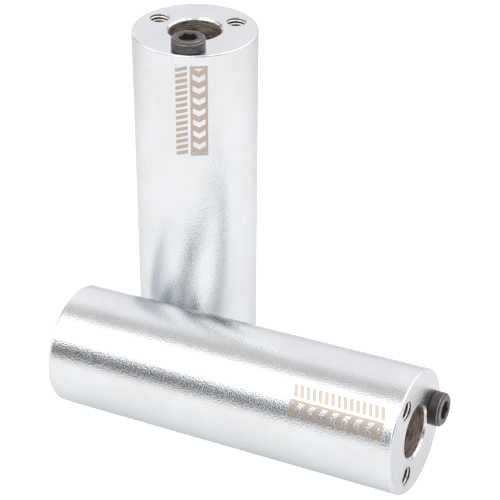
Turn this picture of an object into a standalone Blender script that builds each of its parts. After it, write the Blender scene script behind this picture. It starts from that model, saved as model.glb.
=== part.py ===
"""A pair of BMX axle pegs (stunt pegs), one standing on its open end and one lying in front of it.

Each peg is one turned steel tube with an end wall. The wall bears on the frame's dropout, is bored
for the wheel axle, and has three tapped holes on a circle, so that one anti-roll bolt can be put
where the frame has a slot for it. The open end lets a socket reach the axle nut inside.

Frame: +Z up, +X along the lying peg towards its dropout face, the standing peg on the +Y side.
The origin is at the bottom of the pair, in the middle of its box. Metres.
"""
import math

import bmesh
import bpy
from mathutils import Matrix, Vector

MM = 0.001

# Peg body: a turned tube that tapers slightly towards its open end.
LENGTH = 110.0 * MM
DROPOUT_END_D = 36.8 * MM
OPEN_END_D = 35.4 * MM
FACE_CHAMFER = 0.4 * MM
OPEN_END_ROUND = 1.5 * MM
END_WALL = 6.0 * MM
CAVITY_D = 28.0 * MM
CAVITY_FILLET = 2.0 * MM
CAVITY_CHAMFER = 0.6 * MM
AXLE_BORE_D = 15.4 * MM
AXLE_BORE_CHAMFER = 0.6 * MM

# Three tapped holes in the end wall, and the bolt that goes in one of them.
HOLE_COUNT = 3
HOLE_CIRCLE_D = 26.0 * MM
HOLE_DEPTH = 9.0 * MM
HOLE_COUNTERSINK = 0.5 * MM
THREAD_PITCH_D = 5.35 * MM
BOLT_HEAD_D = 10.0 * MM
BOLT_HEAD_TOP = 3.5 * MM
BOLT_HEAD_CHAMFER = 0.7 * MM
BOLT_SHANK_LENGTH = 8.0 * MM
BOLT_TIP_CHAMFER = 0.8 * MM
HEX_KEY = 5.0 * MM
HEX_DEPTH = 2.0 * MM

# Where the two pegs are.
CLEARANCE = 0.3 * MM
STANDING_AXIS_TO_LYING_FACE = 87.7 * MM
STANDING_MARK_ANGLE = math.radians(-70.6)
LYING_MARK_ANGLE = math.radians(122.5)
STANDING_BOLT_HOLE = 0
LYING_BOLT_HOLE = 2

# Finishes: colour and roughness.
PLATING = ((0.80, 0.80, 0.79), 0.32)
BLACK_OXIDE = ((0.10, 0.10, 0.10), 0.45)

# How finely the shapes are turned.
BODY_STEPS = 72
HOLE_STEPS = 24
BOLT_STEPS = 36
ARC_STEPS = 4
MERGE = 1e-6
SHARP_ANGLE = math.radians(30)

FACE_R = DROPOUT_END_D / 2
OPEN_R = OPEN_END_D / 2
TAPER = math.atan((FACE_R - OPEN_R) / LENGTH)


def outer_radius(height):
    """Radius of the tapered outside at a height above the open end."""
    return OPEN_R + (FACE_R - OPEN_R) * height / LENGTH


def arc(centre_x, centre_z, radius, start_deg, end_deg):
    """Points of an arc in the XZ plane, both ends included."""
    points = []
    for step in range(ARC_STEPS + 1):
        angle = math.radians(start_deg + (end_deg - start_deg) * step / ARC_STEPS)
        points.append((centre_x + radius * math.cos(angle), centre_z + radius * math.sin(angle)))
    return points


def turned(name, profile, steps, closed):
    """Turn a profile of (radius, height) points about Z.

    The profile runs down the outer side. A closed one is a ring; an open one starts and ends on
    the axis.
    """
    mesh = bpy.data.meshes.new(name)
    shape = bmesh.new()
    points = [shape.verts.new((radius, 0.0, height)) for radius, height in profile]
    for here, there in zip(points, points[1:]):
        shape.edges.new((here, there))
    if closed:
        shape.edges.new((points[-1], points[0]))
    shape.to_mesh(mesh)
    shape.free()
    turned_object = bpy.data.objects.new(name, mesh)
    screw = turned_object.modifiers.new("turn", "SCREW")
    screw.axis = "Z"
    screw.steps = steps
    screw.render_steps = steps
    screw.use_merge_vertices = True
    screw.merge_threshold = MERGE
    screw.use_smooth_shade = False
    return turned_object


def baked(source):
    """Replace an object's mesh with its evaluated one, so that it can cut or be cut cleanly."""
    bpy.context.scene.collection.objects.link(source)
    bpy.context.view_layer.update()
    evaluated = source.evaluated_get(bpy.context.evaluated_depsgraph_get())
    mesh = bpy.data.meshes.new_from_object(evaluated)
    shape = bmesh.new()
    shape.from_mesh(mesh)
    bmesh.ops.remove_doubles(shape, verts=shape.verts, dist=MERGE)
    shape.to_mesh(mesh)
    shape.free()
    bpy.context.scene.collection.objects.unlink(source)
    source.modifiers.clear()
    source.data = mesh
    return source


def cut(target, cutter, cutters):
    """Subtract a cutter, which stays in the scene as a wire guide."""
    cutters.objects.link(cutter)
    cutter.hide_render = True
    cutter.display_type = "WIRE"
    boolean = target.modifiers.new("cut_" + cutter.name, "BOOLEAN")
    boolean.operation = "DIFFERENCE"
    boolean.solver = "EXACT"
    boolean.object = cutter


def peg_profile():
    """The ring that turns into a peg: outside, foot, cavity, end wall, bore and dropout face."""
    shoulder = LENGTH - FACE_CHAMFER
    foot_r = outer_radius(OPEN_END_ROUND)
    cavity_r = CAVITY_D / 2
    cavity_top = LENGTH - END_WALL
    bore_r = AXLE_BORE_D / 2
    profile = [(FACE_R - FACE_CHAMFER, LENGTH), (outer_radius(shoulder), shoulder)]
    profile += arc(foot_r - OPEN_END_ROUND, OPEN_END_ROUND, OPEN_END_ROUND, 0.0, -90.0)
    profile += [(cavity_r + CAVITY_CHAMFER, 0.0), (cavity_r, CAVITY_CHAMFER)]
    profile += arc(cavity_r - CAVITY_FILLET, cavity_top - CAVITY_FILLET, CAVITY_FILLET, 0.0, 90.0)
    profile += [
        (bore_r, cavity_top),
        (bore_r, LENGTH - AXLE_BORE_CHAMFER),
        (bore_r + AXLE_BORE_CHAMFER, LENGTH),
    ]
    return profile


def hole_position(index):
    """Centre of a tapped hole in the dropout face, in the peg's own frame."""
    angle = 2 * math.pi * index / HOLE_COUNT
    radius = HOLE_CIRCLE_D / 2
    return Vector((radius * math.cos(angle), radius * math.sin(angle), LENGTH))


def hole_cutter(name):
    """A drilled and countersunk hole going down from the origin."""
    hole_r = (THREAD_PITCH_D + CLEARANCE) / 2
    mouth_r = hole_r + HOLE_COUNTERSINK
    profile = [
        (0.0, HOLE_COUNTERSINK),
        (mouth_r + HOLE_COUNTERSINK, HOLE_COUNTERSINK),
        (hole_r, -HOLE_COUNTERSINK),
        (hole_r, -HOLE_DEPTH),
        (0.0, -HOLE_DEPTH),
    ]
    return baked(turned(name, profile, HOLE_STEPS, closed=False))


def make_peg(name, place, material, parts, cutters):
    """One peg body with its three holes, placed by its world matrix."""
    peg = baked(turned(name, peg_profile(), BODY_STEPS, closed=True))
    parts.objects.link(peg)
    peg.matrix_world = place
    for index in range(HOLE_COUNT):
        cutter = hole_cutter(f"{name}_hole_{index + 1}_cutter")
        cutter.matrix_world = place @ Matrix.Translation(hole_position(index))
        cut(peg, cutter, cutters)
    finish(peg, material)
    return peg


def make_bolt(name, place, hole, material, parts, cutters):
    """A socket-head bolt in one of a peg's holes. Its origin is at the middle of the hole's mouth."""
    head_r = BOLT_HEAD_D / 2
    shank_r = (THREAD_PITCH_D - CLEARANCE) / 2
    profile = [
        (0.0, BOLT_HEAD_TOP),
        (head_r - BOLT_HEAD_CHAMFER, BOLT_HEAD_TOP),
        (head_r, BOLT_HEAD_TOP - BOLT_HEAD_CHAMFER),
        (head_r, CLEARANCE),
        (shank_r, CLEARANCE),
        (shank_r, BOLT_TIP_CHAMFER - BOLT_SHANK_LENGTH),
        (shank_r - BOLT_TIP_CHAMFER, -BOLT_SHANK_LENGTH),
        (0.0, -BOLT_SHANK_LENGTH),
    ]
    bolt = baked(turned(name, profile, BOLT_STEPS, closed=False))
    parts.objects.link(bolt)
    bolt.matrix_world = place @ Matrix.Translation(hole_position(hole))
    cut(bolt, hex_cutter(name + "_socket_cutter", bolt.matrix_world), cutters)
    finish(bolt, material)
    return bolt


def hex_cutter(name, place):
    """A hexagonal prism for the key's socket, reaching above the head."""
    mesh = bpy.data.meshes.new(name)
    shape = bmesh.new()
    corner_r = HEX_KEY / 2 / math.cos(math.pi / 6)
    height = 2 * HEX_DEPTH
    bmesh.ops.create_cone(
        shape, cap_ends=True, segments=6, radius1=corner_r, radius2=corner_r, depth=height,
        matrix=Matrix.Translation((0.0, 0.0, BOLT_HEAD_TOP)),
    )
    shape.to_mesh(mesh)
    shape.free()
    cutter = bpy.data.objects.new(name, mesh)
    cutter.matrix_world = place
    return cutter


def finish(part, material):
    """Material and smooth shading with sharp turned corners."""
    part.data.materials.append(material)
    part.data.shade_smooth()
    part.data.set_sharp_from_angle(angle=SHARP_ANGLE)


def make_material(name, colour, roughness):
    """A Principled metal."""
    material = bpy.data.materials.new(name)
    material.use_nodes = True
    shader = material.node_tree.nodes["Principled BSDF"]
    shader.inputs["Base Color"].default_value = (*colour, 1.0)
    shader.inputs["Roughness"].default_value = roughness
    shader.inputs["Metallic"].default_value = 1.0
    return material


def pair_places():
    """World matrices of the standing and the lying peg.

    The lying peg rests on its whole length, so its axis rises by the taper towards the dropout
    face. The two pegs touch at the height of the lying peg's axis.
    """
    standing = Matrix.Rotation(STANDING_MARK_ANGLE, 4, "Z")
    face_height = FACE_R * math.cos(TAPER)
    beside_face = LENGTH - STANDING_AXIS_TO_LYING_FACE
    axis_gap = outer_radius(face_height) + outer_radius(beside_face) + CLEARANCE
    axis = Vector((math.cos(TAPER), 0.0, math.sin(TAPER)))
    side = Vector((0.0, 1.0, 0.0))
    upward = axis.cross(side)
    mark = side * math.cos(LYING_MARK_ANGLE) + upward * math.sin(LYING_MARK_ANGLE)
    turn = Matrix((mark, axis.cross(mark), axis)).transposed().to_4x4()
    face_centre = Vector((STANDING_AXIS_TO_LYING_FACE, -axis_gap, face_height))
    lying = Matrix.Translation(face_centre - axis * LENGTH) @ turn
    low_x = STANDING_AXIS_TO_LYING_FACE - LENGTH * math.cos(TAPER)
    high_x = STANDING_AXIS_TO_LYING_FACE + BOLT_HEAD_TOP
    low_y = -axis_gap - FACE_R
    middle = Vector(((low_x + high_x) / 2, (low_y + FACE_R) / 2, 0.0))
    to_origin = Matrix.Translation(-middle)
    return to_origin @ standing, to_origin @ lying


def main():
    for old in list(bpy.data.objects):
        bpy.data.objects.remove(old, do_unlink=True)
    parts = bpy.data.collections.new("axle_pegs")
    cutters = bpy.data.collections.new("cutters")
    bpy.context.scene.collection.children.link(parts)
    bpy.context.scene.collection.children.link(cutters)
    plated = make_material("satin_plating", *PLATING)
    blackened = make_material("black_oxide", *BLACK_OXIDE)
    standing, lying = pair_places()
    make_peg("standing_peg", standing, plated, parts, cutters)
    make_bolt("standing_anti_roll_bolt", standing, STANDING_BOLT_HOLE, blackened, parts, cutters)
    make_peg("lying_peg", lying, plated, parts, cutters)
    make_bolt("lying_anti_roll_bolt", lying, LYING_BOLT_HOLE, blackened, parts, cutters)


main()
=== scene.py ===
"""Looks of a pair of BMX axle pegs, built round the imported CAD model.

Each peg body and each anti-roll bolt is rebuilt as a finely turned mesh with real metric threads,
in its own frame: the peg's axis along +Z, the dropout face at z = LENGTH and the first tapped hole
on +X. Each mesh carries its own-frame coordinates in millimetres in the attribute "own_mm", which
the material patterns are drawn from, and the etched mark's coordinates in "mark_mm".
"""
import math

import bmesh
import bpy
from mathutils import Matrix, Vector


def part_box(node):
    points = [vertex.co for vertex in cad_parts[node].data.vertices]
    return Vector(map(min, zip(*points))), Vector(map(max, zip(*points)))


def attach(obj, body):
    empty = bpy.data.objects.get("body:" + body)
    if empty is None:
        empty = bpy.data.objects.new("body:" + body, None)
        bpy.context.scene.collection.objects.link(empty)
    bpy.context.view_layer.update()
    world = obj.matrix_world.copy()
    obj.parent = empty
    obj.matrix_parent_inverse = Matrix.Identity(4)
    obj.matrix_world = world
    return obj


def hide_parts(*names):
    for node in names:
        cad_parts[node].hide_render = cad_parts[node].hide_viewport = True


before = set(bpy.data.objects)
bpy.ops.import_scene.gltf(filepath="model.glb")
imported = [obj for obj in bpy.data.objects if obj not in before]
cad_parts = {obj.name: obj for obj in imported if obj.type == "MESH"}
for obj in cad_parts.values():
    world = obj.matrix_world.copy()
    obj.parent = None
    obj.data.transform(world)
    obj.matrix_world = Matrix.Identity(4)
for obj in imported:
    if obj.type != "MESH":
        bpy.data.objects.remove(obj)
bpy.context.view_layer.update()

MM = 0.001
TURN = 2 * math.pi

# Driving sizes of the peg. Its length comes from the CAD node.
standing_low, standing_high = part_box("standing_peg")
LENGTH = standing_high.z - standing_low.z
FACE_R = 18.4 * MM
OPEN_R = 17.7 * MM
TAPER = math.atan((FACE_R - OPEN_R) / LENGTH)

FACE_EDGE_ROUND = 0.55 * MM
OPEN_END_ROUND = 1.5 * MM
END_WALL = 6.0 * MM
FACE_EDGE_STEPS = 6
ROUND_STEPS = 8
CAVITY_R = 14.0 * MM
CAVITY_FILLET = 2.0 * MM
CAVITY_CHAMFER = 0.6 * MM
BORE_R = 7.7 * MM
BORE_CHAMFER = 0.6 * MM
EDGE_BREAK = 0.07 * MM

HOLE_COUNT = 3
HOLE_CIRCLE_R = 13.0 * MM
HOLE_DEPTH = 9.0 * MM
PITCH = 1.0 * MM
# One pitch of a 60-degree thread, rounded at its smallest radius: share of the pitch, and share of
# the way from the major radius to the minor one.
THREAD_FORM = (
    (0.0, 0.0), (0.125, 0.0), (0.36, 0.76), (0.43, 0.92),
    (0.51, 1.0), (0.615, 1.0), (0.695, 0.92), (0.765, 0.76),
)
HOLE_MAJOR_R = 3.05 * MM
HOLE_MINOR_R = 2.55 * MM
HOLE_MOUTH_R = 2.92 * MM
HOLE_DRILLED_R = 2.50 * MM
HOLE_POINT = 1.0 * MM

# Driving sizes of the bolt, whose origin is at the middle of its hole's mouth.
SHANK_MAJOR_R = 2.93 * MM
SHANK_MINOR_R = 2.42 * MM
SHANK_LENGTH = 8.0 * MM
SHANK_TIP_CHAMFER = 0.7 * MM
HEAD_R = 5.0 * MM
HEAD_TOP = 3.5 * MM
HEAD_SEAT = 0.02 * MM
HEAD_CHAMFER = 0.65 * MM
HEAD_EDGE_ROUND = 0.12 * MM
HEAD_SEAT_ROUND = 0.35 * MM
HEX_KEY = 5.0 * MM
HEX_CORNER_R = HEX_KEY / 2 / math.cos(math.pi / 6)
HEX_DEPTH = 2.0 * MM
HEX_MOUTH_CHAMFER = 0.05 * MM
HEX_DRILL_GAP = 0.1 * MM
DRILL_POINT = 0.9 * MM

BODY_STEPS = 144
HOLE_STEPS = 48
BOLT_STEPS = 96
RING_SPACING = 5.0 * MM
SUPPORT = 0.05 * MM
SHORTEST_SUPPORTED = 0.4 * MM
CUTTER_MARGIN = 1.0 * MM
CUTTER_GAP = 0.01 * MM
MERGE = 0.001 * MM
# How far down a hole its faces are looked for, and the share of a face's normal that is along the
# peg: more on an end face, less on the slope of a chamfer, least on a bored wall.
HOLE_ZONE = HOLE_DEPTH + 1.5 * MM
END_NORMAL = 0.9999
FLAT_NORMAL = 0.98
WALL_NORMAL = 0.2
SHARP_ANGLE = math.radians(31)

# The photographed view. The lens is in mm and the distance in metres.
CAMERA_LENS = 167.75
CAMERA_DISTANCE = 0.685
CAMERA_AZIMUTH = math.radians(26.499)
CAMERA_PITCH = math.radians(29.761)
CAMERA_AIM = Vector((-0.01139, 0.00723, 0.04799))


# ---------------------------------------------------------------- mesh tools

def arc(centre_r, centre_z, radius, start_deg, end_deg, steps=ROUND_STEPS):
    """Points of an arc in the XZ plane, both ends included."""
    points = []
    for step in range(steps + 1):
        angle = math.radians(start_deg + (end_deg - start_deg) * step / steps)
        points.append((centre_r + radius * math.cos(angle), centre_z + radius * math.sin(angle)))
    return points


def broken_corner(before, corner, after, size=EDGE_BREAK, steps=3):
    """A small round in place of a profile corner, as points of a quadratic curve."""
    corner = Vector(corner)
    start = corner + (Vector(before) - corner).normalized() * size
    end = corner + (Vector(after) - corner).normalized() * size
    points = []
    for step in range(steps + 1):
        t = step / steps
        point = start * (1 - t) ** 2 + corner * (2 * t * (1 - t)) + end * t ** 2
        points.append((point.x, point.y))
    return points


def supported(profile, closed):
    """Adds a profile point close to each end of every long stretch, so that smooth shading stays
    true on it, and splits very long stretches.
    """
    result = []
    count = len(profile)
    last = count if closed else count - 1
    for index in range(last):
        here, there = Vector(profile[index]), Vector(profile[(index + 1) % count])
        result.append((here.x, here.y))
        span = (there - here).length
        if span < SHORTEST_SUPPORTED:
            continue
        along = (there - here) / span
        pieces = max(1, round(span / RING_SPACING))
        stops = [SUPPORT] + [span * step / pieces for step in range(1, pieces)] + [span - SUPPORT]
        for stop in stops:
            point = here + along * stop
            result.append((point.x, point.y))
    if not closed:
        result.append(profile[-1])
    return result


def evaluated_mesh(source):
    """The mesh of an unlinked object with its modifiers applied."""
    bpy.context.scene.collection.objects.link(source)
    bpy.context.view_layer.update()
    evaluated = source.evaluated_get(bpy.context.evaluated_depsgraph_get())
    mesh = bpy.data.meshes.new_from_object(evaluated)
    bpy.context.scene.collection.objects.unlink(source)
    return mesh


def turned(name, profile, steps, closed=False):
    """An object turned from a profile of (radius, height) points about Z."""
    mesh = bpy.data.meshes.new(name)
    shape = bmesh.new()
    points = [shape.verts.new((radius, 0.0, height)) for radius, height in profile]
    for here, there in zip(points, points[1:]):
        shape.edges.new((here, there))
    if closed:
        shape.edges.new((points[-1], points[0]))
    shape.to_mesh(mesh)
    shape.free()
    source = bpy.data.objects.new(name, mesh)
    screw = source.modifiers.new("turn", "SCREW")
    screw.axis = "Z"
    screw.steps = steps
    screw.render_steps = steps
    screw.use_merge_vertices = True
    screw.merge_threshold = MERGE
    source.data = evaluated_mesh(source)
    source.modifiers.clear()
    clean(source.data)
    return source


def clean(mesh):
    """Welds double points, removes slivers and makes the faces look outwards."""
    shape = bmesh.new()
    shape.from_mesh(mesh)
    bmesh.ops.remove_doubles(shape, verts=shape.verts, dist=MERGE)
    bmesh.ops.dissolve_degenerate(shape, edges=shape.edges, dist=MERGE)
    bmesh.ops.recalc_face_normals(shape, faces=shape.faces)
    shape.to_mesh(mesh)
    shape.free()


def threaded_rod(name, major_r, minor_r, low, turns):
    """A right-hand threaded rod from height low, closed by a fan at both helical ends.

    The points of a row follow the helix, so that crests and roots are unbroken lines.
    """
    per_turn = len(THREAD_FORM)
    mesh = bpy.data.meshes.new(name)
    shape = bmesh.new()
    grid = []
    for column in range(HOLE_STEPS):
        angle = TURN * column / HOLE_STEPS
        line = []
        for row in range((turns + 1) * per_turn + 1):
            share, depth = THREAD_FORM[row % per_turn]
            radius = major_r + (minor_r - major_r) * depth
            height = low + PITCH * (row // per_turn + share + column / HOLE_STEPS)
            line.append(shape.verts.new((radius * math.cos(angle), radius * math.sin(angle), height)))
        grid.append(line)
    rows = turns * per_turn
    for column in range(HOLE_STEPS):
        last = column == HOLE_STEPS - 1
        here = grid[column]
        there = grid[0][per_turn:] if last else grid[column + 1]
        for row in range(rows):
            shape.faces.new((here[row], there[row], there[row + 1], here[row + 1]))
    bottom_loop = [grid[column][0] for column in range(HOLE_STEPS)]
    bottom_loop += [grid[0][row] for row in range(per_turn, 0, -1)]
    top_loop = [grid[column][rows] for column in range(HOLE_STEPS)]
    top_loop += [grid[0][rows + row] for row in range(per_turn, 0, -1)]
    for loop, height in ((bottom_loop, low + PITCH / 2), (top_loop, low + PITCH * (turns + 0.5))):
        middle = shape.verts.new((0.0, 0.0, height))
        for here, there in zip(loop, loop[1:] + loop[:1]):
            shape.faces.new((middle, here, there))
    loose = [vert for vert in shape.verts if not vert.link_faces]
    bmesh.ops.delete(shape, geom=loose, context="VERTS")
    bmesh.ops.recalc_face_normals(shape, faces=shape.faces)
    shape.to_mesh(mesh)
    shape.free()
    return bpy.data.objects.new(name, mesh)


def hex_prism(name, low, high):
    """A hexagonal prism of the key's size between two heights."""
    mesh = bpy.data.meshes.new(name)
    shape = bmesh.new()
    place = Matrix.Translation((0.0, 0.0, (low + high) / 2))
    bmesh.ops.create_cone(shape, cap_ends=True, segments=6, radius1=HEX_CORNER_R,
                          radius2=HEX_CORNER_R, depth=high - low, matrix=place)
    shape.to_mesh(mesh)
    shape.free()
    return bpy.data.objects.new(name, mesh)


def combined(target, other, operation):
    """Replaces target's mesh with its boolean combination with another object."""
    bpy.context.scene.collection.objects.link(other)
    boolean = target.modifiers.new("combine", "BOOLEAN")
    boolean.operation = operation
    boolean.solver = "EXACT"
    boolean.object = other
    target.data = evaluated_mesh(target)
    target.modifiers.clear()
    clean(target.data)
    bpy.data.objects.remove(other)


# ---------------------------------------------------------------- materials

# Most of a noise's values lie between these.
NOISE_LOW = 0.3
NOISE_HIGH = 0.7


def node(tree, kind, **settings):
    """A new shader node with its properties and, by input name, its values set."""
    made = tree.nodes.new("ShaderNode" + kind)
    for key, value in settings.items():
        if key in made.inputs:
            made.inputs[key].default_value = value
        else:
            setattr(made, key, value)
    return made


def math_node(tree, operation, first, second=None, third=None):
    """The output of a Math node whose arguments are sockets or numbers."""
    made = node(tree, "Math", operation=operation)
    for socket, value in zip(made.inputs, (first, second, third)):
        if value is None:
            continue
        if isinstance(value, (int, float)):
            socket.default_value = value
        else:
            tree.links.new(value, socket)
    return made.outputs[0]


def mixed(tree, factor, first, second):
    """The output of a Mix node between two colours, each a socket or an RGB tuple. The factor is a
    socket.
    """
    made = node(tree, "Mix", data_type="RGBA")
    tree.links.new(factor, made.inputs[0])
    for socket, value in ((made.inputs[6], first), (made.inputs[7], second)):
        if isinstance(value, tuple):
            socket.default_value = (*value, 1.0)
        else:
            tree.links.new(value, socket)
    return made.outputs[2]


def new_material(name):
    """A material with its node tree, Principled shader and own-frame coordinates in mm."""
    material = bpy.data.materials.new(name)
    material.use_nodes = True
    tree = material.node_tree
    shader = tree.nodes["Principled BSDF"]
    place = node(tree, "Attribute", attribute_name="own_mm").outputs["Vector"]
    return material, tree, shader, place


def noise(tree, place, scale, detail=2.0, roughness=0.5):
    """A noise value, scale in features per millimetre."""
    made = node(tree, "TexNoise", Scale=scale, Detail=detail, Roughness=roughness)
    tree.links.new(place, made.inputs["Vector"])
    return made.outputs["Fac"]


def ranged(tree, value, from_low, from_high, to_low, to_high):
    """A value mapped from one range to another, clamped."""
    made = node(tree, "MapRange")
    made.inputs["From Min"].default_value = from_low
    made.inputs["From Max"].default_value = from_high
    made.inputs["To Min"].default_value = to_low
    made.inputs["To Max"].default_value = to_high
    tree.links.new(value, made.inputs["Value"])
    return made.outputs["Result"]


def blended(tree, value, low, high, first, second):
    """A colour that goes from one to another as a value goes from low to high."""
    return mixed(tree, ranged(tree, value, low, high, 0.0, 1.0), first, second)


def set_roughness(tree, shader, value, low, high):
    """Makes the roughness follow a noise value between two limits."""
    roughness = ranged(tree, value, NOISE_LOW, NOISE_HIGH, low, high)
    tree.links.new(roughness, shader.inputs["Roughness"])


def bump(tree, shader, height, distance):
    """Gives a shader a bump from a height value; distance is in metres."""
    made = node(tree, "Bump", Strength=1.0, Distance=distance)
    tree.links.new(height, made.inputs["Height"])
    tree.links.new(made.outputs["Normal"], shader.inputs["Normal"])


def stretched(tree, place, scale):
    """A place scaled along each axis, for lines that run round a piece."""
    made = node(tree, "Mapping", vector_type="POINT")
    made.inputs["Scale"].default_value = scale
    tree.links.new(place, made.inputs["Vector"])
    return made.outputs["Vector"]


# The generic etched mark, in mm: a long bar with chevrons left bright in it, and a row of dashes
# beside it. Tops and lengths run down from the dropout face, lows and highs run round the peg.
MARK_TOP = 3.2
MARK_LENGTH = 28.5
BAR_LOW = 1.1
BAR_HIGH = 6.2
ROW_LOW = -3.2
ROW_HIGH = 0.3
CHEVRON_PITCH = 3.55
CHEVRON_SHARE = 0.46
CHEVRON_SLOPE = 0.55
BAR_MARGIN = 0.75
DASH_PITCH = 1.9
DASH_SHARE = 0.62
DASH_SLANT = 0.30
LYING_MARK_TURN = math.radians(17.5)
LYING_MARK_DROP = 0.3


def inside(tree, value, low, high):
    """1 where a value lies between two limits, else 0."""
    above = math_node(tree, "GREATER_THAN", value, low)
    below = math_node(tree, "LESS_THAN", value, high)
    return math_node(tree, "MULTIPLY", above, below)


def mark_mask(tree):
    """1 where the etched mark is, from the distance round the peg and below the face, in mm."""
    place = node(tree, "Attribute", attribute_name="mark_mm").outputs["Vector"]
    parts = node(tree, "SeparateXYZ")
    tree.links.new(place, parts.inputs[0])
    x, y, z = parts.outputs
    angle = math_node(tree, "ARCTAN2", y, x)
    around = math_node(tree, "MULTIPLY", angle, FACE_R / MM)
    down = math_node(tree, "SUBTRACT", LENGTH / MM - MARK_TOP, z)
    along = inside(tree, down, 0.0, MARK_LENGTH)

    bar = inside(tree, around, BAR_LOW, BAR_HIGH)
    window = inside(tree, around, BAR_LOW + BAR_MARGIN, BAR_HIGH - BAR_MARGIN)
    window = math_node(tree, "MULTIPLY", window,
                       inside(tree, down, BAR_MARGIN, MARK_LENGTH - BAR_MARGIN))
    off_centre = math_node(tree, "SUBTRACT", around, (BAR_LOW + BAR_HIGH) / 2)
    slope = math_node(tree, "MULTIPLY", math_node(tree, "ABSOLUTE", off_centre), CHEVRON_SLOPE)
    phase = math_node(tree, "ADD", down, slope)
    phase = math_node(tree, "FRACT", math_node(tree, "DIVIDE", phase, CHEVRON_PITCH))
    chevron = math_node(tree, "LESS_THAN", phase, CHEVRON_SHARE)
    bright = math_node(tree, "MULTIPLY", chevron, window)
    bar = math_node(tree, "MULTIPLY", bar, math_node(tree, "SUBTRACT", 1.0, bright))

    row = inside(tree, around, ROW_LOW, ROW_HIGH)
    slanted = math_node(tree, "MULTIPLY_ADD", around, DASH_SLANT, down)
    phase = math_node(tree, "FRACT", math_node(tree, "DIVIDE", slanted, DASH_PITCH))
    row = math_node(tree, "MULTIPLY", row, math_node(tree, "LESS_THAN", phase, DASH_SHARE))
    either = math_node(tree, "MAXIMUM", bar, row)
    return math_node(tree, "MULTIPLY", either, along)


def satin_plating():
    """Bead-blasted, bright plated steel with the etched mark."""
    material, tree, shader, place = new_material("satin_plating_finish")
    grain = noise(tree, place, 2.3, detail=2.0, roughness=0.6)
    cloud = noise(tree, place, 0.09, detail=2.0)
    mask = mark_mask(tree)
    metal = blended(tree, cloud, 0.35, 0.65, (0.645, 0.668, 0.686), (0.675, 0.702, 0.724))
    fleck = noise(tree, place, 5.0, detail=1.0)
    etched = blended(tree, fleck, 0.25, 0.75, (0.385, 0.325, 0.28), (0.515, 0.45, 0.40))
    tree.links.new(mixed(tree, mask, metal, etched), shader.inputs["Base Color"])
    blasted = ranged(tree, grain, NOISE_LOW, NOISE_HIGH, 0.12, 0.17)
    rough = math_node(tree, "MULTIPLY_ADD", mask, 0.17, blasted)
    tree.links.new(rough, shader.inputs["Roughness"])
    shader.inputs["Metallic"].default_value = 1.0
    shader.inputs["Specular Tint"].default_value = (0.76, 0.77, 0.78, 1.0)
    bump(tree, shader, grain, 0.00007)
    return material


def bright_machined():
    """Chamfers at the mouths of the bore and cavity: cut bright, with turning marks and stains."""
    material, tree, shader, place = new_material("bright_machined_edges")
    stain = noise(tree, place, 0.45, detail=3.0)
    fine = noise(tree, place, 3.0, detail=2.0)
    tint = blended(tree, stain, 0.42, 0.58, (0.42, 0.36, 0.32), (0.74, 0.71, 0.68))
    tree.links.new(tint, shader.inputs["Base Color"])
    set_roughness(tree, shader, fine, 0.16, 0.30)
    shader.inputs["Metallic"].default_value = 1.0
    bump(tree, shader, fine, 0.00003)
    return material


def bored_steel():
    """The axle bore: thinly plated brownish steel with tool lines round the axis."""
    material, tree, shader, place = new_material("bored_steel")
    lines = noise(tree, stretched(tree, place, (0.25, 0.25, 2.2)), 1.0, detail=3.0, roughness=0.65)
    grain = noise(tree, place, 3.2, detail=2.0, roughness=0.6)
    rough_cut = math_node(tree, "MULTIPLY_ADD", grain, 0.6, lines)
    colour = blended(tree, rough_cut, 0.62, 0.98, (0.13, 0.10, 0.08), (0.76, 0.67, 0.59))
    tree.links.new(colour, shader.inputs["Base Color"])
    set_roughness(tree, shader, lines, 0.36, 0.52)
    shader.inputs["Metallic"].default_value = 0.85
    bump(tree, shader, rough_cut, 0.00012)
    return material


def hole_distance(tree, place):
    """Distance in mm from the axis of the nearest tapped hole."""
    flat = node(tree, "VectorMath", operation="MULTIPLY")
    tree.links.new(place, flat.inputs[0])
    flat.inputs[1].default_value = (1.0, 1.0, 0.0)
    nearest = None
    for index in range(HOLE_COUNT):
        distance = node(tree, "VectorMath", operation="DISTANCE")
        tree.links.new(flat.outputs["Vector"], distance.inputs[0])
        centre = hole_position(index) / MM
        distance.inputs[1].default_value = (centre.x, centre.y, 0.0)
        value = distance.outputs["Value"]
        nearest = value if nearest is None else math_node(tree, "MINIMUM", nearest, value)
    return nearest


def cut_threads():
    """Tapped threads: bright crests, and flanks that darken to brown roots from about 2.8 mm off
    the hole's axis. The brown is the raw steel's own colour; the darkening into the roots is painted
    shade.
    """
    material, tree, shader, place = new_material("cut_threads")
    stain = noise(tree, place, 1.2, detail=3.0)
    fine = noise(tree, place, 4.0, detail=2.0)
    crest = blended(tree, stain, 0.35, 0.65, (0.80, 0.73, 0.68), (0.97, 0.94, 0.92))
    # Painted shade: the colour falls to a near-black brown towards the thread roots, 2.8 to 3 mm off
    # the hole's axis.
    depth = math_node(tree, "MULTIPLY_ADD", stain, 0.2, hole_distance(tree, place))
    tint = blended(tree, depth, 2.80, 3.00, crest, (0.13, 0.10, 0.09))
    tree.links.new(tint, shader.inputs["Base Color"])
    set_roughness(tree, shader, fine, 0.22, 0.34)
    shader.inputs["Metallic"].default_value = 0.9
    bump(tree, shader, fine, 0.00002)
    return material


def cavity_steel():
    """Inside of the tube: drilled and bored, with duller plating."""
    material, tree, shader, place = new_material("cavity_steel")
    lines = noise(tree, stretched(tree, place, (0.05, 0.05, 1.4)), 1.0, detail=3.0, roughness=0.6)
    stain = noise(tree, place, 0.12, detail=4.0)
    colour = blended(tree, stain, NOISE_LOW, NOISE_HIGH, (0.60, 0.58, 0.56), (0.74, 0.73, 0.72))
    tree.links.new(colour, shader.inputs["Base Color"])
    set_roughness(tree, shader, lines, 0.30, 0.46)
    shader.inputs["Metallic"].default_value = 0.8
    bump(tree, shader, lines, 0.00008)
    return material


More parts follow.
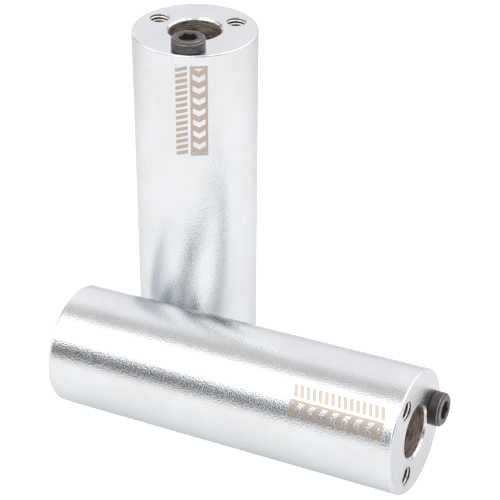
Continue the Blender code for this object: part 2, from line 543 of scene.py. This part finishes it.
def hypotenuse(tree, first, second):
    """The square root of the sum of two squares."""
    square = math_node(tree, "MULTIPLY", second, second)
    return math_node(tree, "SQRT", math_node(tree, "MULTIPLY_ADD", first, first, square))


def ring_distance(tree, place, ring_r, ring_z):
    """Distance in mm from a circle about the own-frame axis."""
    parts = node(tree, "SeparateXYZ")
    tree.links.new(place, parts.inputs[0])
    x, y, z = parts.outputs
    off_r = math_node(tree, "SUBTRACT", hypotenuse(tree, x, y), ring_r)
    off_z = math_node(tree, "SUBTRACT", z, ring_z)
    return hypotenuse(tree, off_r, off_z)


def black_oxide():
    """Blackened, slightly oily alloy steel, lighter grey within a few tenths of a mm of the head's
    edges: partly wear, partly a painted highlight along the chamfer's edges.
    """
    material, tree, shader, place = new_material("black_oxide_finish")
    grain = noise(tree, place, 3.0, detail=3.0, roughness=0.6)
    blotch = noise(tree, place, 0.5, detail=3.0)
    colour = blended(tree, blotch, NOISE_LOW, NOISE_HIGH,
                     (0.045, 0.042, 0.041), (0.080, 0.073, 0.070))
    # Wear and painted highlight: a lighter grey ring along the shoulder and the rim of the head's
    # chamfer.
    shoulder = ring_distance(tree, place, HEAD_R / MM, (HEAD_TOP - HEAD_CHAMFER) / MM)
    rim = ring_distance(tree, place, (HEAD_R - HEAD_CHAMFER) / MM, HEAD_TOP / MM)
    near = math_node(tree, "MINIMUM", shoulder, rim)
    patchy = math_node(tree, "MULTIPLY_ADD", blotch, 0.5, near)
    wear_and_edge_highlight = ranged(tree, patchy, 0.22, 0.42, 1.0, 0.0)
    tree.links.new(mixed(tree, wear_and_edge_highlight, colour, (0.30, 0.285, 0.275)), shader.inputs["Base Color"])
    set_roughness(tree, shader, grain, 0.26, 0.40)
    shader.inputs["Metallic"].default_value = 0.4
    bump(tree, shader, grain, 0.00002)
    return material


# ---------------------------------------------------------------- the peg body

def peg_profile():
    """The ring that turns into a peg: face edge, outside, foot, cavity, bore and face."""
    slope = (FACE_R - OPEN_R) / LENGTH
    foot_r = OPEN_R + slope * OPEN_END_ROUND
    cavity_top = LENGTH - END_WALL
    edge_r = FACE_R - slope * FACE_EDGE_ROUND - FACE_EDGE_ROUND
    face_edge = arc(edge_r, LENGTH - FACE_EDGE_ROUND, FACE_EDGE_ROUND, 90.0, 0.0, FACE_EDGE_STEPS)
    foot = arc(foot_r - OPEN_END_ROUND, OPEN_END_ROUND, OPEN_END_ROUND, 0.0, -90.0)
    lip_out = (CAVITY_R + CAVITY_CHAMFER, 0.0)
    lip_in = (CAVITY_R, CAVITY_CHAMFER)
    fillet_r = CAVITY_R - CAVITY_FILLET
    fillet = arc(fillet_r, cavity_top - CAVITY_FILLET, CAVITY_FILLET, 0.0, 90.0)
    bore_low = (BORE_R, cavity_top)
    bore_high = (BORE_R, LENGTH - BORE_CHAMFER)
    mouth = (BORE_R + BORE_CHAMFER, LENGTH)
    profile = face_edge + foot
    profile += broken_corner(foot[-1], lip_out, lip_in)
    profile += broken_corner(lip_out, lip_in, fillet[0])
    profile += fillet
    profile += broken_corner(fillet[-1], bore_low, bore_high)
    profile += broken_corner(bore_low, bore_high, mouth)
    profile += broken_corner(bore_high, mouth, face_edge[0])
    return profile


def hole_position(index):
    """Centre of a tapped hole in the dropout face, in the peg's own frame."""
    angle = TURN * index / HOLE_COUNT
    return Vector((HOLE_CIRCLE_R * math.cos(angle), HOLE_CIRCLE_R * math.sin(angle), LENGTH))


def countersink_profile():
    """A cone that opens the hole's mouth, and a drilled point past the thread's end."""
    return [
        (0.0, CUTTER_MARGIN),
        (HOLE_MOUTH_R + CUTTER_MARGIN, CUTTER_MARGIN),
        (HOLE_DRILLED_R, HOLE_DRILLED_R - HOLE_MOUTH_R),
        (HOLE_DRILLED_R, -HOLE_DEPTH),
        (0.0, -HOLE_DEPTH - HOLE_POINT),
    ]


def place_attribute(mesh, name, pattern_place):
    """Stores each point's place in a pattern's frame, in millimetres."""
    attribute = mesh.attributes.new(name, "FLOAT_VECTOR", "POINT")
    for vertex, value in zip(mesh.vertices, attribute.data):
        value.vector = pattern_place @ (vertex.co / MM)


def shaded(mesh, flat_axis):
    """Smooth shading with sharp corners, and sharp borders round the flat ends."""
    mesh.shade_smooth()
    mesh.set_sharp_from_angle(angle=SHARP_ANGLE)
    shape = bmesh.new()
    shape.from_mesh(mesh)
    for edge in shape.edges:
        flats = [abs(face.normal.dot(flat_axis)) > END_NORMAL for face in edge.link_faces]
        if len(flats) == 2 and flats[0] != flats[1]:
            edge.smooth = False
    shape.to_mesh(mesh)
    shape.free()


def peg_region(centre, normal):
    """A face's material: 0 satin, 1 bright edges, 2 bored steel, 3 cavity, 4 threads."""
    radius = math.hypot(centre.x, centre.y)
    below = LENGTH - centre.z
    from_hole = min(
        math.hypot(centre.x - hole.x, centre.y - hole.y)
        for hole in (hole_position(index) for index in range(HOLE_COUNT))
    )
    upright = abs(normal.z)
    if from_hole < HOLE_MAJOR_R + SUPPORT and upright < FLAT_NORMAL and below < HOLE_ZONE:
        return 4
    if radius < BORE_R + BORE_CHAMFER + SUPPORT and below < END_WALL + SUPPORT:
        if upright <= WALL_NORMAL:
            return 2
        if upright < FLAT_NORMAL:
            return 1
    if below < CUTTER_GAP or radius > CAVITY_R + CAVITY_CHAMFER + SUPPORT:
        return 0
    if centre.z < CAVITY_CHAMFER + SUPPORT:
        return 1
    return 3 if below > SUPPORT else 0


def peg_mesh():
    """The mesh that both pegs share the shape of."""
    body = turned("peg_shape", supported(peg_profile(), closed=True), BODY_STEPS, closed=True)
    for index in range(HOLE_COUNT):
        place = Matrix.Translation(hole_position(index))
        turns = round((HOLE_DEPTH + CUTTER_MARGIN) / PITCH)
        rod = threaded_rod("tap", HOLE_MAJOR_R, HOLE_MINOR_R, -HOLE_DEPTH, turns)
        rod.matrix_world = place
        combined(body, rod, "DIFFERENCE")
        cone = turned("countersink", countersink_profile(), HOLE_STEPS)
        cone.matrix_world = place
        combined(body, cone, "DIFFERENCE")
    mesh = body.data
    for face in mesh.polygons:
        face.material_index = peg_region(face.center, face.normal)
    shaded(mesh, Vector((0.0, 0.0, 1.0)))
    bpy.data.objects.remove(body)
    return mesh


# ---------------------------------------------------------------- the bolt

def bolt_mesh():
    """A socket-head bolt whose origin is at the middle of its hole's mouth."""
    tip = -SHANK_LENGTH
    tip_r = SHANK_MAJOR_R - SHANK_TIP_CHAMFER
    blank = [
        (0.0, HEAD_TOP / 2),
        (SHANK_MAJOR_R, HEAD_TOP / 2),
        (SHANK_MAJOR_R, tip + SHANK_TIP_CHAMFER),
        (tip_r, tip),
        (0.0, tip),
    ]
    shank = turned("shank", blank, HOLE_STEPS)
    turns = round((SHANK_LENGTH + 3 * CUTTER_MARGIN) / PITCH)
    rod = threaded_rod("shank_thread", SHANK_MAJOR_R + CUTTER_GAP, SHANK_MINOR_R,
                       -SHANK_LENGTH - CUTTER_MARGIN, turns)
    combined(shank, rod, "INTERSECT")
    top = (HEAD_R - HEAD_CHAMFER, HEAD_TOP)
    shoulder = (HEAD_R, HEAD_TOP - HEAD_CHAMFER)
    under = (HEAD_R, HEAD_SEAT)
    middle = (0.0, HEAD_SEAT)
    profile = [(0.0, HEAD_TOP)]
    profile += broken_corner((0.0, HEAD_TOP), top, shoulder, HEAD_EDGE_ROUND)
    profile += broken_corner(top, shoulder, under, HEAD_EDGE_ROUND)
    profile += broken_corner(shoulder, under, middle, HEAD_SEAT_ROUND)
    profile.append(middle)
    head = turned("head", supported(profile, closed=False), BOLT_STEPS)
    combined(head, shank, "UNION")
    socket_low = HEAD_TOP - HEX_DEPTH
    combined(head, hex_prism("socket", socket_low, HEAD_TOP + CUTTER_MARGIN), "DIFFERENCE")
    drill_r = HEX_KEY / 2 - HEX_DRILL_GAP
    drill = [
        (0.0, HEAD_TOP),
        (drill_r, HEAD_TOP),
        (drill_r, socket_low + CUTTER_GAP),
        (0.0, socket_low - DRILL_POINT),
    ]
    combined(head, turned("drill_point", drill, HOLE_STEPS), "DIFFERENCE")
    mouth_r = HEX_CORNER_R + HEX_MOUTH_CHAMFER
    rise = CUTTER_MARGIN / 2
    mouth = [
        (0.0, HEAD_TOP + rise),
        (mouth_r + rise, HEAD_TOP + rise),
        (mouth_r - CUTTER_MARGIN, HEAD_TOP - CUTTER_MARGIN),
        (0.0, HEAD_TOP - CUTTER_MARGIN),
    ]
    combined(head, turned("socket_mouth", mouth, HOLE_STEPS), "DIFFERENCE")
    mesh = head.data
    shaded(mesh, Vector((0.0, 0.0, 1.0)))
    bpy.data.objects.remove(head)
    return mesh


# ---------------------------------------------------------------- putting the pieces in place

def peg_place(face_centre, axis, bolt_node, bolt_hole):
    """World matrix of a peg's own frame, turned so that its bolt is where the CAD bolt is."""
    low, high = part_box(bolt_node)
    across = (low + high) / 2 - face_centre
    across -= axis * across.dot(axis)
    across.normalize()
    first_hole = Matrix.Rotation(-TURN * bolt_hole / HOLE_COUNT, 3, axis) @ across
    turn = Matrix((first_hole, axis.cross(first_hole), axis)).transposed().to_4x4()
    return Matrix.Translation(face_centre - axis * LENGTH) @ turn


def add_piece(name, mesh, materials, place, mark_place, body, cad_node):
    """Puts a mesh in the scene as a piece that stands for a CAD node."""
    piece = bpy.data.objects.new(name, mesh.copy())
    piece.data.name = name
    place_attribute(piece.data, "own_mm", Matrix())
    place_attribute(piece.data, "mark_mm", mark_place)
    piece.data.transform(place)
    for material in materials:
        piece.data.materials.append(material)
    bpy.context.scene.collection.objects.link(piece)
    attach(piece, body)
    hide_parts(cad_node)
    return piece


def add_pegs():
    """Both pegs with their bolts."""
    peg_materials = [
        satin_plating(), bright_machined(), bored_steel(), cavity_steel(), cut_threads()
    ]
    bolt_materials = [black_oxide()]
    body, bolt = peg_mesh(), bolt_mesh()
    low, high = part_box("standing_peg")
    upright = Vector((0.0, 0.0, 1.0))
    standing_face = Vector(((low.x + high.x) / 2, (low.y + high.y) / 2, high.z))
    low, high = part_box("lying_peg")
    lengthwise = Vector((math.cos(TAPER), 0.0, math.sin(TAPER)))
    face_x = high.x - FACE_R * math.sin(TAPER)
    lying_face = Vector((face_x, (low.y + high.y) / 2, FACE_R * math.cos(TAPER)))
    for side, face_centre, axis, bolt_hole, mark_turn, mark_drop in (
        ("standing", standing_face, upright, 0, 0.0, 0.0),
        ("lying", lying_face, lengthwise, 2, LYING_MARK_TURN, LYING_MARK_DROP),
    ):
        bolt_node = side + "_anti_roll_bolt"
        place = peg_place(face_centre, axis, bolt_node, bolt_hole)
        mark_place = Matrix.Translation((0.0, 0.0, mark_drop)) @ Matrix.Rotation(-mark_turn, 4, "Z")
        add_piece(side + "_peg_body", body, peg_materials, place, mark_place, side + "_peg",
                  side + "_peg")
        bolt_place = place @ Matrix.Translation(hole_position(bolt_hole))
        add_piece(side + "_socket_bolt", bolt, bolt_materials, bolt_place, Matrix(), side + "_bolt",
                  bolt_node)


# ---------------------------------------------------------------- stage, light and camera

FLOOR_SIZE = 12.0
FLOOR_WHITE = (0.53, 0.515, 0.505)
# How much the floor glows near the object and far from it, and what the camera sees on top.
FLOOR_GLOW = 0.56
FLOOR_FAR_GLOW = 0.12
FLOOR_SEEN_GLOW = 0.22
POOL_CENTRE = (0.02, -0.10, 0.0)
POOL_FROM = 0.24
POOL_TO = 0.50

# The studio, by direction. "Up" is degrees up from the front horizon, over the top to the back
# horizon at 180; "side" is -1 at the far left and 1 at the far right. A row is a name, up from, up
# to, side from, side to, brightness and edge in degrees, and each panel covers the rows before it.
ROOM_LEVEL = (1.20, 1.17, 1.18)
PANELS = (
    ("left_wall", 40.0, 180.0, -1.20, -0.66, (1.45, 1.44, 1.44), 16.0),
    ("grey_ceiling", 82.0, 108.0, -0.62, -0.18, (0.76, 0.727, 0.70), 12.0),
    ("right_wall", 10.0, 168.0, 0.30, 1.20, (1.75, 1.74, 1.76), 14.0),
    ("front_flag", -20.0, 25.0, -0.66, -0.27, (0.17, 0.17, 0.17), 8.0),
    ("main_soft_box", 29.5, 74.0, -1.20, -0.02, (2.10, 2.10, 2.06), 3.5),
    ("front_soft_box", 14.0, 60.0, -0.25, 0.36, (1.90, 1.90, 1.90), 6.0),
    ("ceiling_gap", 60.0, 98.0, 0.02, 0.20, (0.75, 0.75, 0.75), 10.0),
    ("right_flag", -40.0, 66.0, 0.82, 1.20, (0.16, 0.16, 0.18), 12.0),
    ("right_grey", 2.0, 48.0, 0.50, 0.86, (0.66, 0.66, 0.67), 9.0),
    ("right_slot", 0.0, 60.0, 0.39, 0.56, (0.09, 0.09, 0.10), 5.0),
    ("left_flag", 95.0, 140.0, -1.20, -0.74, (0.42, 0.42, 0.43), 8.0),
)
# The studio as one peg shows it in the other. The real lamps stood close, so from the second peg
# they were in other directions. A ray that meets the studio after one reflection has depth 2, and
# after two reflections 3.
SECOND_LOOK_DEPTH = 2.5
SECOND_ROOM_LEVEL = (2.10, 1.99, 1.92)
SECOND_PANELS = (
    ("left_wall", -40.0, 200.0, -1.20, -0.58, (1.10, 1.11, 1.13), 20.0),
    ("upper_gap", 60.0, 140.0, -0.03, 0.21, (0.50, 0.52, 0.55), 10.0),
    ("middle_gap", 30.0, 62.0, 0.07, 0.38, (0.60, 0.60, 0.62), 10.0),
    ("lower_gap", -20.0, 32.0, 0.12, 0.52, (0.36, 0.36, 0.37), 10.0),
    ("right_wall", -40.0, 180.0, 0.78, 1.20, (1.70, 1.68, 1.66), 14.0),
    ("right_edge", -60.0, 200.0, 0.885, 1.20, (0.26, 0.29, 0.32), 5.0),
    ("right_low", -60.0, 22.0, 0.50, 1.20, (0.26, 0.29, 0.32), 8.0),
)
# The width of a panel's side edge for each degree of its upper edge.
SIDE_EDGE_SHARE = 0.012


def add_floor():
    """A plain white floor, brightest round the object, which is not part of the object."""
    mesh = bpy.data.meshes.new("floor")
    shape = bmesh.new()
    bmesh.ops.create_grid(shape, x_segments=1, y_segments=1, size=FLOOR_SIZE / 2)
    shape.to_mesh(mesh)
    shape.free()
    floor = bpy.data.objects.new("floor", mesh)
    bpy.context.scene.collection.objects.link(floor)
    material = bpy.data.materials.new("floor_white")
    material.use_nodes = True
    tree = material.node_tree
    shader = tree.nodes["Principled BSDF"]
    shader.inputs["Base Color"].default_value = (*FLOOR_WHITE, 1.0)
    shader.inputs["Roughness"].default_value = 1.0
    shader.inputs["Specular IOR Level"].default_value = 0.0
    shader.inputs["Emission Color"].default_value = (1.0, 1.0, 1.0, 1.0)
    distance = node(tree, "VectorMath", operation="DISTANCE")
    tree.links.new(node(tree, "NewGeometry").outputs["Position"], distance.inputs[0])
    distance.inputs[1].default_value = POOL_CENTRE
    glow = ranged(tree, distance.outputs["Value"], POOL_FROM, POOL_TO, FLOOR_GLOW, FLOOR_FAR_GLOW)
    seen = node(tree, "LightPath").outputs["Is Camera Ray"]
    glow = math_node(tree, "MULTIPLY_ADD", seen, FLOOR_SEEN_GLOW, glow)
    tree.links.new(glow, shader.inputs["Emission Strength"])
    mesh.materials.append(material)


def edge_step(tree, value, middle, width):
    """A smooth step from 0 to 1 as a value passes a limit."""
    made = node(tree, "MapRange", interpolation_type="SMOOTHSTEP")
    made.inputs["From Min"].default_value = middle - width / 2
    made.inputs["From Max"].default_value = middle + width / 2
    tree.links.new(value, made.inputs["Value"])
    return made.outputs["Result"]


def panel_mask(tree, up, side, up_from, up_to, side_from, side_to, edge):
    """1 in the directions that a panel covers, with soft edges."""
    side_edge = edge * SIDE_EDGE_SHARE
    steps = (
        edge_step(tree, up, up_from, edge),
        math_node(tree, "SUBTRACT", 1.0, edge_step(tree, up, up_to, edge)),
        edge_step(tree, side, side_from, side_edge),
        math_node(tree, "SUBTRACT", 1.0, edge_step(tree, side, side_to, side_edge)),
    )
    mask = steps[0]
    for step in steps[1:]:
        mask = math_node(tree, "MULTIPLY", mask, step)
    return mask


def studio_brightness(tree, up, side, room_level, panels):
    """The studio's brightness by direction: the room with each panel over it."""
    brightness = node(tree, "RGB").outputs[0]
    brightness.default_value = (*room_level, 1.0)
    for _, up_from, up_to, side_from, side_to, level, edge in panels:
        mask = panel_mask(tree, up, side, up_from, up_to, side_from, side_to, edge)
        brightness = mixed(tree, mask, brightness, level)
    return brightness


def add_studio():
    """A pale room with soft boxes, seen as plain white by the camera."""
    world = bpy.data.worlds.new("studio")
    bpy.context.scene.world = world
    world.use_nodes = True
    tree = world.node_tree
    direction = node(tree, "TexCoord").outputs["Generated"]
    parts = node(tree, "SeparateXYZ")
    tree.links.new(direction, parts.inputs[0])
    front = math_node(tree, "MULTIPLY", parts.outputs["Y"], -1.0)
    angle = math_node(tree, "ARCTAN2", parts.outputs["Z"], front)
    up = math_node(tree, "MULTIPLY", angle, 180.0 / math.pi)
    side = parts.outputs["X"]
    path = node(tree, "LightPath")
    second = math_node(tree, "GREATER_THAN", path.outputs["Ray Depth"], SECOND_LOOK_DEPTH)
    second = math_node(tree, "MULTIPLY", second, path.outputs["Is Glossy Ray"])
    first_look = studio_brightness(tree, up, side, ROOM_LEVEL, PANELS)
    second_look = studio_brightness(tree, up, side, SECOND_ROOM_LEVEL, SECOND_PANELS)
    background = tree.nodes["Background"]
    tree.links.new(mixed(tree, second, first_look, second_look), background.inputs["Color"])
    seen = node(tree, "Background", Strength=1.0)
    seen.inputs["Color"].default_value = (1.0, 1.0, 1.0, 1.0)
    choice = node(tree, "MixShader")
    tree.links.new(path.outputs["Is Camera Ray"], choice.inputs[0])
    tree.links.new(background.outputs[0], choice.inputs[1])
    tree.links.new(seen.outputs[0], choice.inputs[2])
    tree.links.new(choice.outputs[0], tree.nodes["World Output"].inputs["Surface"])


def add_camera():
    """The camera at the photographed view."""
    data = bpy.data.cameras.new("camera")
    data.lens = CAMERA_LENS
    data.sensor_width = 36.0
    data.clip_start = 0.01
    data.clip_end = 100.0
    camera = bpy.data.objects.new("camera", data)
    bpy.context.scene.collection.objects.link(camera)
    back = Vector((
        math.sin(CAMERA_AZIMUTH) * math.cos(CAMERA_PITCH),
        -math.cos(CAMERA_AZIMUTH) * math.cos(CAMERA_PITCH),
        math.sin(CAMERA_PITCH),
    ))
    camera.location = CAMERA_AIM + back * CAMERA_DISTANCE
    camera.rotation_euler = (math.pi / 2 - CAMERA_PITCH, 0.0, CAMERA_AZIMUTH)
    bpy.context.scene.camera = camera


bpy.context.scene.view_settings.view_transform = "Standard"
# The denoiser's prefilter would smooth the plating's fine grain away.
bpy.context.scene.cycles.denoising_prefilter = "NONE"
add_camera()
add_floor()
add_studio()
add_pegs()
